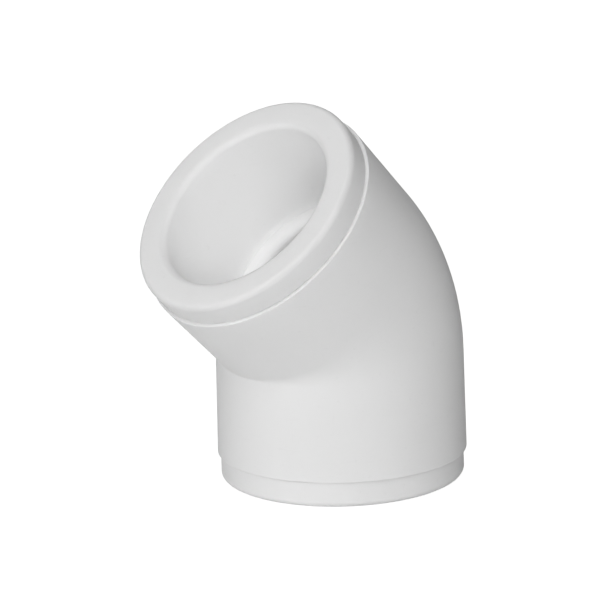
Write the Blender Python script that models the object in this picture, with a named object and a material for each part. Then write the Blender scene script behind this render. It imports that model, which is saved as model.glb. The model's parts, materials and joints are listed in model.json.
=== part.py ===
"""A 45 degree socket elbow for round conduit: a bent body and a flanged collar in each of its sockets.

Units are metres and +Z is up. The lower mouth rests on z = 0 and the upper mouth leans towards -X.
The origin is the middle of the base of the whole elbow's box.
"""

import math

import bmesh
import bpy
from mathutils import Vector

# Bend: both legs' centre lines meet at one point, the same distance from either mouth.
BEND_ANGLE = math.radians(45)
CENTRE_TO_FACE = 0.0241
BEND_RADIUS = 0.0176

# Body: a shell with a socket at each end and a narrower throat that bends between them.
# Its outside narrows slightly from either mouth to the bend.
BODY_RADIUS = 0.0174
WAIST_RADIUS = 0.0172
BODY_END = 0.0036
SOCKET_RADIUS = 0.0152
SOCKET_DEPTH = 0.0173
THROAT_RADIUS = 0.0102
THROAT_CHAMFER = 0.0004
THROAT_BEND_RADIUS = 0.0140

# Collar: a flange at the mouth and a sleeve that lines the socket and takes the conduit.
COLLAR_RADIUS = 0.0170
COLLAR_BACK_RADIUS = 0.0169
COLLAR_EDGE_ROUND = 0.0008
BORE_RADIUS = 0.01265
BORE_EDGE_ROUND = 0.0008
SLEEVE_RADIUS = 0.0149

# Space left between a collar and the body, which cement fills on the real elbow.
FIT_GAP = 0.0003

SIDES = 64
BEND_STEPS = 12
ROUND_STEPS = 4
SHARP_ANGLE = math.radians(30)

BODY_COLOUR = (0.86, 0.86, 0.86, 1.0)
COLLAR_COLOUR = (0.88, 0.88, 0.88, 1.0)
ROUGHNESS = 0.5

LOWER_ALONG = Vector((0, 0, 1))
LOWER_NORMAL = Vector((1, 0, 0))
UPPER_ALONG = Vector((-math.sin(BEND_ANGLE), 0, math.cos(BEND_ANGLE)))
UPPER_NORMAL = Vector((math.cos(BEND_ANGLE), 0, math.sin(BEND_ANGLE)))
UPPER_MOUTH = (LOWER_ALONG + UPPER_ALONG) * CENTRE_TO_FACE


def lower_place(distance):
    """A point on the lower leg's centre line, that far inside its mouth, and the bend's outward normal."""
    return LOWER_ALONG * distance, LOWER_NORMAL


def upper_place(distance):
    """The same for the upper leg."""
    return UPPER_MOUTH - UPPER_ALONG * distance, UPPER_NORMAL


def bend_places(bend_radius):
    """Points on a centre line bent to that radius, from the lower leg to the upper leg, and their normals."""
    leg_length = CENTRE_TO_FACE - bend_radius * math.tan(BEND_ANGLE / 2)
    centre = LOWER_ALONG * leg_length - LOWER_NORMAL * bend_radius
    turns = [BEND_ANGLE * step / BEND_STEPS for step in range(BEND_STEPS + 1)]
    normals = [LOWER_NORMAL * math.cos(turn) + LOWER_ALONG * math.sin(turn) for turn in turns]
    return [(centre + normal * bend_radius, normal) for normal in normals]


def add_ring(mesh, place, radius):
    """A circle of vertices round the centre line."""
    point, normal = place
    across = Vector((0, 1, 0))
    angles = [2 * math.pi * side / SIDES for side in range(SIDES)]
    return [mesh.verts.new(point + radius * (math.cos(a) * normal + math.sin(a) * across)) for a in angles]


def join_rings(mesh, first, second):
    """A band of faces between two circles of vertices."""
    for side in range(SIDES):
        after = (side + 1) % SIDES
        mesh.faces.new((first[side], first[after], second[after], second[side]))


def ring_object(name, rings, colour):
    """A closed piece whose skin runs through (place, radius) rings in order and back to the first."""
    mesh = bmesh.new()
    loops = [add_ring(mesh, place, radius) for place, radius in rings]
    for first, second in zip(loops, loops[1:] + loops[:1]):
        join_rings(mesh, first, second)
    bmesh.ops.recalc_face_normals(mesh, faces=mesh.faces)
    data = bpy.data.meshes.new(name)
    mesh.to_mesh(data)
    mesh.free()
    data.shade_smooth()
    data.set_sharp_from_angle(angle=SHARP_ANGLE)
    data.materials.append(plastic(name, colour))
    piece = bpy.data.objects.new(name, data)
    bpy.context.collection.objects.link(piece)
    return piece


def plastic(name, colour):
    """Smooth white plastic with a satin surface."""
    material = bpy.data.materials.new(name)
    material.use_nodes = True
    shader = material.node_tree.nodes["Principled BSDF"]
    shader.inputs["Base Color"].default_value = colour
    shader.inputs["Roughness"].default_value = ROUGHNESS
    shader.inputs["Metallic"].default_value = 0.0
    return material


def quarter_round(wall_radius, size, towards_face):
    """Distances and radii of a quarter circle between a wall and the mouth's flat face, wall first.

    towards_face is -1 where the face lies inside the wall and +1 where it lies outside it.
    """
    outline = []
    for step in range(ROUND_STEPS + 1):
        angle = math.pi / 2 * step / ROUND_STEPS
        sink = size * (1 - math.sin(angle))
        shift = size * (1 - math.cos(angle))
        outline.append((sink, wall_radius + towards_face * shift))
    return outline


def make_body():
    mouth = [
        (SOCKET_DEPTH + THROAT_CHAMFER, THROAT_RADIUS),
        (SOCKET_DEPTH, THROAT_RADIUS + THROAT_CHAMFER),
        (SOCKET_DEPTH, SOCKET_RADIUS),
        (BODY_END, SOCKET_RADIUS),
        (BODY_END, BODY_RADIUS),
    ]
    lower = [(lower_place(distance), radius) for distance, radius in mouth]
    outside = [(place, WAIST_RADIUS) for place in bend_places(BEND_RADIUS)]
    upper = [(upper_place(distance), radius) for distance, radius in reversed(mouth)]
    inside = [(place, THROAT_RADIUS) for place in reversed(bend_places(THROAT_BEND_RADIUS))]
    return ring_object("elbow_body", lower + outside + upper + inside, BODY_COLOUR)


def make_collar(name):
    """A collar with its mouth face at the origin and its sleeve along +Z."""
    flange_back = BODY_END - FIT_GAP
    sleeve_end = SOCKET_DEPTH - FIT_GAP
    outer_edge = quarter_round(COLLAR_RADIUS, COLLAR_EDGE_ROUND, -1)
    bore_edge = quarter_round(BORE_RADIUS, BORE_EDGE_ROUND, 1)
    sleeve = [(sleeve_end, BORE_RADIUS), (sleeve_end, SLEEVE_RADIUS), (flange_back, SLEEVE_RADIUS)]
    outline = [(flange_back, COLLAR_BACK_RADIUS)] + outer_edge + bore_edge[::-1] + sleeve
    return ring_object(name, [(lower_place(distance), radius) for distance, radius in outline], COLLAR_COLOUR)


def box_shift():
    """How far the lower mouth's middle stands from the middle of the elbow's box, along X."""
    edge = COLLAR_RADIUS * math.cos(BEND_ANGLE)
    rounding = COLLAR_EDGE_ROUND * (math.sin(BEND_ANGLE) + math.cos(BEND_ANGLE) - 1)
    reach = edge - rounding - UPPER_MOUTH.x
    return (reach - BODY_RADIUS) / 2


def clear_scene():
    for item in list(bpy.data.objects):
        bpy.data.objects.remove(item)


def make_elbow():
    body = make_body()
    body.location.x = box_shift()
    lower_collar = make_collar("lower_collar")
    lower_collar.parent = body
    upper_collar = make_collar("upper_collar")
    upper_collar.parent = body
    upper_collar.location = UPPER_MOUTH
    upper_collar.rotation_euler.y = math.pi - BEND_ANGLE


clear_scene()
make_elbow()
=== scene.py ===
"""The looks of a white 45 degree socket elbow, standing on a pale studio floor. Units are metres."""

import json
import math

import bmesh
import bpy
from mathutils import Matrix, Vector


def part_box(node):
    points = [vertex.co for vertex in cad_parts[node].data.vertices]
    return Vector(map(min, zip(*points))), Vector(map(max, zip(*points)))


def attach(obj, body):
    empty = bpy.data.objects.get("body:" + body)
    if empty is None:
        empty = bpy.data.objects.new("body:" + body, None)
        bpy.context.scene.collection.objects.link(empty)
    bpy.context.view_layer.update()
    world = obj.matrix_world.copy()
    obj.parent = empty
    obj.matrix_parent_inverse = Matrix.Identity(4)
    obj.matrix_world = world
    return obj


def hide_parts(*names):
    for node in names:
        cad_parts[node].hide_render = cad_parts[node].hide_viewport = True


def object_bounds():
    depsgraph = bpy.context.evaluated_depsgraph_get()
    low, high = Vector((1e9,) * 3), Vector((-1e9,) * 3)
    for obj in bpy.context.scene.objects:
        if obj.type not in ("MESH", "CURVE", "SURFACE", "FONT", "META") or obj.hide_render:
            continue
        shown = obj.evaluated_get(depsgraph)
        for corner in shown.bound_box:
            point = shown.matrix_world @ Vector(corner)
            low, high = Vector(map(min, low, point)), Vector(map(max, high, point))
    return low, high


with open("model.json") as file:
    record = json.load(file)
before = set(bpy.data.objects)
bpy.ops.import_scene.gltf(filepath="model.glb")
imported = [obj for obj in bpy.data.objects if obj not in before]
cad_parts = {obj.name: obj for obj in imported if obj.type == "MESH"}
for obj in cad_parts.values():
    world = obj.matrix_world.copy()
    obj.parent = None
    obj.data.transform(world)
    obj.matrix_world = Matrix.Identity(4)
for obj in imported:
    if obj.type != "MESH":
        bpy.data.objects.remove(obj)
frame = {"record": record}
cad_low, cad_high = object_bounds()

# Places and sizes read from the frame. The CAD's sleeves end CAD_GAP short of the ledges.
BEND_ANGLE = math.radians(45)
BODY_LOW, BODY_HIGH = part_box("elbow_body")
COLLAR_LOW, COLLAR_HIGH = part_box("lower_collar")
UPPER_FACE = next(mount for mount in frame["record"]["mounts"] if mount["name"] == "upper_mouth_face")
LOWER_MOUTH = Vector(((COLLAR_LOW.x + COLLAR_HIGH.x) / 2, 0, COLLAR_LOW.z))
UPPER_MOUTH = Vector((UPPER_FACE["pos_m"][0], 0, UPPER_FACE["pos_m"][2]))
CENTRE_TO_FACE = (UPPER_MOUTH - LOWER_MOUTH).length / (2 * math.cos(BEND_ANGLE / 2))
BODY_RADIUS = (BODY_HIGH.y - BODY_LOW.y) / 2
COLLAR_RADIUS = (COLLAR_HIGH.y - COLLAR_LOW.y) / 2
BODY_END = BODY_LOW.z
CAD_GAP = 0.0003
SOCKET_DEPTH = COLLAR_HIGH.z + CAD_GAP

# Each leg's direction, going from the lower mouth to the upper one, and its normal towards the
# outside of the bend.
LOWER_ALONG = Vector((0, 0, 1))
LOWER_NORMAL = Vector((1, 0, 0))
UPPER_ALONG = Vector((-math.sin(BEND_ANGLE), 0, math.cos(BEND_ANGLE)))
UPPER_NORMAL = Vector((math.cos(BEND_ANGLE), 0, math.sin(BEND_ANGLE)))

# Sizes that the frame's boxes don't give.
WAIST_RADIUS = 0.0172
BEND_RADIUS = 0.0176
THROAT_BEND_RADIUS = 0.0140
COLLAR_BACK_RADIUS = 0.01695
SOCKET_RADIUS = 0.0150
THROAT_RADIUS = 0.0102
BORE_RADIUS = 0.01265

# Rounds of the edges, and the gap at the joints, which is narrower than the CAD's.
BODY_EDGE_ROUND = 0.00012
MOUTH_EDGE_ROUND = 0.0008
BORE_EDGE_ROUND = 0.0010
THROAT_EDGE_ROUND = 0.0010
JOINT_GAP = 0.00002
JOINT_EDGE_ROUND = 0.00005

# How finely the meshes are cut.
SIDES = 192
BEND_STEPS = 40
ROUND_STEPS = 8

# Share of light that the plastic sends back. The bore is painted lighter than the outside, and lighter still
# from the ledge inwards: painted light in the deep recess. BORE_EDGE_SHARE is how much of the bore's
# rounded edge the change of tone takes up.
OUTSIDE_TONE = 0.80
BORE_PAINTED_LIGHT_TONE = 0.91
LEDGE_PAINTED_LIGHT_TONE = 0.985
BORE_EDGE_SHARE = 0.6

# The plastic's shine, and the light that sinks into it outside the bore.
SPECULAR = 0.15
ROUGHNESS = 0.65
SCATTER_WEIGHT = 0.5
SCATTER_DEPTH = 0.0007

# Fine variation: the noise's cells per metre, the noise values where a speck or rub starts and is
# full, and how much each darkens or polishes the plastic. Most of the noise lies from low to high.
NOISE_LOW = 0.3
NOISE_HIGH = 0.7
CLOUD_SCALE = 70
CLOUD_LOSS = 0.018
SPECK_SCALE = 1500
SPECK_START = 0.66
SPECK_FULL = 0.76
SPECK_LOSS = 0.025
RUB_SCALE = 260
RUB_STRETCH = (1, 1, 9)
RUB_START = 0.66
RUB_FULL = 0.74
RUB_LOSS = 0.015
RUB_POLISH = 0.07
# How much the rounded rims at the mouths' faces are darkened: partly wear, partly painted shade that dims
# their highlights.
EDGE_WEAR_AND_SHADE = 0.05
SATIN_SCALE = 400
SATIN_LESS = 0.04
SATIN_MORE = 0.05

# The grain that the mould leaves: coarse and fine noise, their shares, and its height.
COARSE_SCALE = 900
COARSE_SHARE = 0.7
FINE_SCALE = 5200
FINE_SHARE = 0.3
GRAIN_STRENGTH = 0.35
GRAIN_HEIGHT = 0.00002

BODY_SEED = 3.1
COLLAR_SEED = 7.9

# The floor: its size, its paint, and the glow that is mixed into the paint where the camera sees it.
FLOOR_RADIUS = 4.0
FLOOR_SIDES = 96
FLOOR_TONE = 0.9
FLOOR_ROUGHNESS = 0.9
FLOOR_GLOW = 1.31
FLOOR_GLOW_SHARE = 0.75

# Lights: how far they stand from the elbow's middle, and how wide they are.
LIGHT_DISTANCE = 0.9
LOW_LIGHT_SIZE = 0.36
HIGH_LIGHT_SIZE = 0.8
TOP_LIGHT_SIZE = 0.9

# The camera, from the middle of the elbow's box.
CAMERA_AZIMUTH = math.radians(-42.8)
CAMERA_ELEVATION = math.radians(13.59)
CAMERA_ROLL = math.radians(-1.754)
CAMERA_DISTANCE = 0.3769
CAMERA_SIDE = -0.00112
CAMERA_RISE = -0.000655
CAMERA_LENS = 165.45
CAMERA_SENSOR = 36
CAMERA_NEAREST = 0.01
CAMERA_FARTHEST = 20


def direction(azimuth, elevation):
    """From the elbow outwards. Azimuth 0 is towards -Y and turns towards +X."""
    flat = math.cos(elevation)
    return Vector((math.sin(azimuth) * flat, -math.cos(azimuth) * flat, math.sin(elevation)))


def make_camera():
    middle = (cad_low + cad_high) / 2
    back = direction(CAMERA_AZIMUTH, CAMERA_ELEVATION)
    right = Vector((math.cos(CAMERA_AZIMUTH), math.sin(CAMERA_AZIMUTH), 0))
    up = back.cross(right)
    data = bpy.data.cameras.new("camera")
    data.lens = CAMERA_LENS
    data.sensor_width = CAMERA_SENSOR
    data.clip_start = CAMERA_NEAREST
    data.clip_end = CAMERA_FARTHEST
    camera = bpy.data.objects.new("camera", data)
    place = middle + right * CAMERA_SIDE + up * CAMERA_RISE + back * CAMERA_DISTANCE
    turn = Matrix((right, up, back)).transposed() @ Matrix.Rotation(CAMERA_ROLL, 3, "Z")
    camera.matrix_world = Matrix.Translation(place) @ turn.to_4x4()
    bpy.context.collection.objects.link(camera)
    bpy.context.scene.camera = camera


make_camera()


def lower_place(distance):
    """A point on the lower leg's centre line, that far inside its mouth, and the leg's normal."""
    return LOWER_MOUTH + LOWER_ALONG * distance, LOWER_NORMAL


def upper_place(distance):
    """The same for the upper leg."""
    return UPPER_MOUTH - UPPER_ALONG * distance, UPPER_NORMAL


def leg_length(bend_radius):
    """How far from the mouth a bend of that radius starts."""
    return CENTRE_TO_FACE - bend_radius * math.tan(BEND_ANGLE / 2)


def bend_places(bend_radius):
    """Points on a centre line bent to that radius, from the lower leg to the upper leg, and their normals."""
    centre = LOWER_MOUTH + Vector((-bend_radius, 0, leg_length(bend_radius)))
    places = []
    for step in range(BEND_STEPS + 1):
        turned = BEND_ANGLE * step / BEND_STEPS
        normal = Vector((math.cos(turned), 0, math.sin(turned)))
        places.append((centre + normal * bend_radius, normal))
    return places


def inside_share(place, radius):
    """0 outside, rising to 1 on the last of the bore's rounded edge, and to 2 from there to the ledge."""
    if radius > BORE_RADIUS:
        return max(1 - (radius - BORE_RADIUS) / BORE_EDGE_SHARE / BORE_EDGE_ROUND, 0)
    depth = min((place[0] - mouth).length for mouth in (LOWER_MOUTH, UPPER_MOUTH))
    return 1 + min(depth / SOCKET_DEPTH, 1)


def add_ring(mesh, place, radius):
    """A circle of vertices round the centre line."""
    point, normal = place
    across = Vector((0, 1, 0))
    ring = []
    for side in range(SIDES):
        angle = 2 * math.pi * side / SIDES
        ring.append(mesh.verts.new(point + radius * (math.cos(angle) * normal + math.sin(angle) * across)))
    return ring


def join_rings(mesh, first, second):
    """A band of faces between two circles of vertices."""
    for side in range(SIDES):
        after = (side + 1) % SIDES
        mesh.faces.new((first[side], first[after], second[after], second[side]))


def rounded(corners):
    """Rings (distance, radius, rim darkening) of a closed outline, whose corners (distance, radius, size)
    become arcs.

    The rim darkening, partly wear and partly painted shade that dims the rims' highlights, rises from 0 at
    either end of an arc to 1 at its middle, on the arcs at the mouth's flat face.
    """
    rings = []
    for index, (distance, radius, size) in enumerate(corners):
        here = Vector((distance, radius))
        before = Vector(corners[index - 1][:2]) - here
        after = Vector(corners[(index + 1) % len(corners)][:2]) - here
        if size == 0:
            rings.append((distance, radius, 0))
            continue
        half = before.angle(after) / 2
        reach = size / math.tan(half)
        centre = here + (before.normalized() + after.normalized()).normalized() * size / math.sin(half)
        start = here + before.normalized() * reach - centre
        turn = start.angle_signed(here + after.normalized() * reach - centre)
        for step in range(ROUND_STEPS + 1):
            spoke = start.copy()
            spoke.rotate(Matrix.Rotation(-turn * step / ROUND_STEPS, 2))
            # Rim darkening, partly wear and partly painted shade, strongest at the middle of the mouth face's
            # rounded edges.
            rim_wear_and_shade = math.sin(math.pi * step / ROUND_STEPS) if distance == 0 else 0
            rings.append((*(centre + spoke), rim_wear_and_shade))
    return rings


def ring_piece(name, rings, material, node):
    """A closed piece whose skin runs through (place, radius, rim darkening) rings in order and back to the
    first.
    """
    mesh = bmesh.new()
    loops = [add_ring(mesh, place, radius) for place, radius, rim_wear_and_shade in rings]
    for first, second in zip(loops, loops[1:] + loops[:1]):
        join_rings(mesh, first, second)
    bmesh.ops.recalc_face_normals(mesh, faces=mesh.faces)
    data = bpy.data.meshes.new(name)
    mesh.to_mesh(data)
    mesh.free()
    shares = {
        "inside": [inside_share(place, radius) for place, radius, rim_wear_and_shade in rings],
        "rim_wear_and_shade": [rim_wear_and_shade for place, radius, rim_wear_and_shade in rings],
    }
    for attribute, values in shares.items():
        layer = data.attributes.new(attribute, "FLOAT", "POINT")
        layer.data.foreach_set("value", [value for value in values for side in range(SIDES)])
    data.shade_smooth()
    data.materials.append(material)
    piece = bpy.data.objects.new(name, data)
    bpy.context.collection.objects.link(piece)
    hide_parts(node)
    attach(piece, "root")


def body_rings():
    """The body's skin: the lower leg, the outside of the bend, the upper leg and the throat."""
    mouth = rounded([
        (leg_length(THROAT_BEND_RADIUS), THROAT_RADIUS, 0),
        (SOCKET_DEPTH, THROAT_RADIUS, THROAT_EDGE_ROUND),
        (SOCKET_DEPTH, SOCKET_RADIUS, 0),
        (BODY_END, SOCKET_RADIUS, JOINT_EDGE_ROUND),
        (BODY_END, BODY_RADIUS, BODY_EDGE_ROUND),
        (leg_length(BEND_RADIUS), WAIST_RADIUS, 0),
    ])
    lower = [(lower_place(distance), radius, rim_wear_and_shade) for distance, radius, rim_wear_and_shade in mouth]
    upper = [(upper_place(distance), radius, rim_wear_and_shade) for distance, radius, rim_wear_and_shade in reversed(mouth)]
    outside = [(place, WAIST_RADIUS, 0) for place in bend_places(BEND_RADIUS)[1:-1]]
    throat = [(place, THROAT_RADIUS, 0) for place in bend_places(THROAT_BEND_RADIUS)[1:-1]]
    return lower + outside + upper + throat[::-1]


def collar_rings(leg_place):
    """A collar's skin: a flange with a flat face at the mouth, and a sleeve down to the ledge."""
    flange_back = BODY_END - JOINT_GAP
    sleeve_end = SOCKET_DEPTH - JOINT_GAP
    sleeve_radius = SOCKET_RADIUS - JOINT_GAP
    outline = rounded([
        (flange_back, COLLAR_BACK_RADIUS, JOINT_EDGE_ROUND),
        (0, COLLAR_RADIUS, MOUTH_EDGE_ROUND),
        (0, BORE_RADIUS, BORE_EDGE_ROUND),
        (sleeve_end, BORE_RADIUS, JOINT_EDGE_ROUND),
        (sleeve_end, sleeve_radius, 0),
        (flange_back, sleeve_radius, 0),
    ])
    return [(leg_place(distance), radius, rim_wear_and_shade) for distance, radius, rim_wear_and_shade in outline]


def plastic(name, seed):
    """Satin white moulded plastic: faintly mottled, finely grained, with a few hairline rubs, painted lighter
    in the bore as painted light, and darker on the mouths' rounded rims as wear and painted shade.
    """
    material = bpy.data.materials.new(name)
    material.use_nodes = True
    tree = material.node_tree
    shader = tree.nodes["Principled BSDF"]
    shader.inputs["Specular IOR Level"].default_value = SPECULAR
    shader.inputs["Subsurface Radius"].default_value = (1, 1, 1)
    shader.inputs["Subsurface Scale"].default_value = SCATTER_DEPTH

    def add(kind, **settings):
        node = tree.nodes.new(kind)
        for setting, value in settings.items():
            setattr(node, setting, value)
        return node

    def link(source, socket):
        tree.links.new(source, socket)

    def noise(scale, detail, stretch=(1, 1, 1)):
        mapping = add("ShaderNodeMapping")
        mapping.inputs["Location"].default_value = (seed, seed * 0.7, seed * 1.3)
        mapping.inputs["Scale"].default_value = stretch
        link(place.outputs["Object"], mapping.inputs["Vector"])
        node = add("ShaderNodeTexNoise")
        node.inputs["Scale"].default_value = scale
        node.inputs["Detail"].default_value = detail
        link(mapping.outputs["Vector"], node.inputs["Vector"])
        return node.outputs["Fac"]

    def remap(value, low, high, new_low, new_high):
        """A value between low and high, turned into one between new_low and new_high and kept there."""
        node = add("ShaderNodeMapRange")
        sockets = ("From Min", "From Max", "To Min", "To Max")
        for socket, number in zip(sockets, (low, high, new_low, new_high)):
            node.inputs[socket].default_value = number
        link(value, node.inputs["Value"])
        return node.outputs["Result"]

    def calculate(operation, first, second):
        node = add("ShaderNodeMath", operation=operation)
        for socket, value in zip(node.inputs, (first, second)):
            if isinstance(value, (int, float)):
                socket.default_value = value
            else:
                link(value, socket)
        return node.outputs["Value"]

    place = add("ShaderNodeTexCoord")
    inside = add("ShaderNodeAttribute", attribute_name="inside").outputs["Fac"]
    rim_wear_and_shade = add("ShaderNodeAttribute", attribute_name="rim_wear_and_shade").outputs["Fac"]

    # Painted light: the bore is made lighter than the outside, more so the deeper it goes, and lightest from
    # the ledge inwards.
    bore_painted_light_tone = remap(inside, 0, 1, OUTSIDE_TONE, BORE_PAINTED_LIGHT_TONE)
    tone = calculate("ADD", bore_painted_light_tone, remap(inside, 1, 2, 0, LEDGE_PAINTED_LIGHT_TONE - BORE_PAINTED_LIGHT_TONE))
    clouds = remap(noise(CLOUD_SCALE, 3), NOISE_LOW, NOISE_HIGH, 1 - CLOUD_LOSS, 1)
    specks = remap(noise(SPECK_SCALE, 2), SPECK_START, SPECK_FULL, 1, 1 - SPECK_LOSS)
    rubs = remap(noise(RUB_SCALE, 2, RUB_STRETCH), RUB_START, RUB_FULL, 0, 1)
    # The rounded rims at the mouths' faces are darkened here: partly wear, partly painted shade over their
    # highlights.
    for share in (clouds, specks, remap(rubs, 0, 1, 1, 1 - RUB_LOSS), remap(rim_wear_and_shade, 0, 1, 1, 1 - EDGE_WEAR_AND_SHADE)):
        tone = calculate("MULTIPLY", tone, share)
    colour = add("ShaderNodeCombineColor")
    for channel in ("Red", "Green", "Blue"):
        link(tone, colour.inputs[channel])
    link(colour.outputs["Color"], shader.inputs["Base Color"])
    link(remap(inside, 0, 1, SCATTER_WEIGHT, 0), shader.inputs["Subsurface Weight"])

    satin = noise(SATIN_SCALE, 3)
    rough = remap(satin, NOISE_LOW, NOISE_HIGH, ROUGHNESS - SATIN_LESS, ROUGHNESS + SATIN_MORE)
    polish = calculate("MULTIPLY", rubs, RUB_POLISH)
    link(calculate("SUBTRACT", rough, polish), shader.inputs["Roughness"])

    coarse = calculate("MULTIPLY", noise(COARSE_SCALE, 3), COARSE_SHARE)
    fine = calculate("MULTIPLY", noise(FINE_SCALE, 2), FINE_SHARE)
    grain = add("ShaderNodeBump")
    grain.inputs["Strength"].default_value = GRAIN_STRENGTH
    grain.inputs["Distance"].default_value = GRAIN_HEIGHT
    link(calculate("ADD", coarse, fine), grain.inputs["Height"])
    link(grain.outputs["Normal"], shader.inputs["Normal"])
    return material


body_material = plastic("body_plastic", BODY_SEED)
collar_material = plastic("collar_plastic", COLLAR_SEED)
ring_piece("body_shell", body_rings(), body_material, "elbow_body")
ring_piece("lower_collar_ring", collar_rings(lower_place), collar_material, "lower_collar")
ring_piece("upper_collar_ring", collar_rings(upper_place), collar_material, "upper_collar")


def floor_paint():
    """White paint, which also glows evenly to the camera, but not inside the lower mouth."""
    material = bpy.data.materials.new("floor_paint")
    material.use_nodes = True
    tree = material.node_tree
    paint = tree.nodes["Principled BSDF"]
    paint.inputs["Base Color"].default_value = (FLOOR_TONE, FLOOR_TONE, FLOOR_TONE, 1)
    paint.inputs["Roughness"].default_value = FLOOR_ROUGHNESS
    glow = tree.nodes.new("ShaderNodeEmission")
    glow.inputs["Strength"].default_value = FLOOR_GLOW
    path = tree.nodes.new("ShaderNodeLightPath")
    place = tree.nodes.new("ShaderNodeTexCoord")
    reach = tree.nodes.new("ShaderNodeVectorMath")
    reach.operation = "DISTANCE"
    reach.inputs[1].default_value = LOWER_MOUTH
    share = tree.nodes.new("ShaderNodeMapRange")
    share.inputs["From Min"].default_value = BORE_RADIUS
    share.inputs["From Max"].default_value = COLLAR_RADIUS
    share.inputs["To Max"].default_value = FLOOR_GLOW_SHARE
    seen = tree.nodes.new("ShaderNodeMath")
    seen.operation = "MULTIPLY"
    mix = tree.nodes.new("ShaderNodeMixShader")
    tree.links.new(place.outputs["Object"], reach.inputs[0])
    tree.links.new(reach.outputs["Value"], share.inputs["Value"])
    tree.links.new(share.outputs["Result"], seen.inputs[0])
    tree.links.new(path.outputs["Is Camera Ray"], seen.inputs[1])
    tree.links.new(seen.outputs["Value"], mix.inputs["Fac"])
    tree.links.new(paint.outputs["BSDF"], mix.inputs[1])
    tree.links.new(glow.outputs["Emission"], mix.inputs[2])
    tree.links.new(mix.outputs["Shader"], tree.nodes["Material Output"].inputs["Surface"])
    return material


def make_floor():
    mesh = bmesh.new()
    bmesh.ops.create_circle(mesh, cap_ends=True, radius=FLOOR_RADIUS, segments=FLOOR_SIDES)
    data = bpy.data.meshes.new("floor")
    mesh.to_mesh(data)
    mesh.free()
    data.materials.append(floor_paint())
    floor = bpy.data.objects.new("floor", data)
    bpy.context.collection.objects.link(floor)


def make_world():
    """White where the camera looks past the floor, and dark to everything else."""
    world = bpy.data.worlds.new("studio")
    world.use_nodes = True
    tree = world.node_tree
    background = tree.nodes["Background"]
    background.inputs["Color"].default_value = (1, 1, 1, 1)
    path = tree.nodes.new("ShaderNodeLightPath")
    tree.links.new(path.outputs["Is Camera Ray"], background.inputs["Strength"])
    bpy.context.scene.world = world


def make_light(name, azimuth, elevation, size, power):
    """A round soft light aimed at the elbow. Its angles are in degrees, and azimuth 0 is the camera's."""
    data = bpy.data.lights.new(name, "AREA")
    data.shape = "DISK"
    data.size = size
    data.energy = power
    light = bpy.data.objects.new(name, data)
    towards = direction(CAMERA_AZIMUTH + math.radians(azimuth), math.radians(elevation))
    light.location = (cad_low + cad_high) / 2 + towards * LIGHT_DISTANCE
    light.rotation_mode = "QUATERNION"
    light.rotation_quaternion = towards.to_track_quat("Z", "Y")
    bpy.context.collection.objects.link(light)


make_floor()
make_world()
make_light("front_low", 0, 12, LOW_LIGHT_SIZE, 2.48)
make_light("front_high", 0, 35, HIGH_LIGHT_SIZE, 2.70)
make_light("front_top", 0, 62, HIGH_LIGHT_SIZE, 1.14)
make_light("top", 0, 90, TOP_LIGHT_SIZE, 1.37)
make_light("back", 180, 20, LOW_LIGHT_SIZE, 1.21)
make_light("left", -90, 12, LOW_LIGHT_SIZE, 1.48)
make_light("front_left", -60, 12, LOW_LIGHT_SIZE, 0.71)
bpy.context.scene.view_settings.view_transform = "Standard"
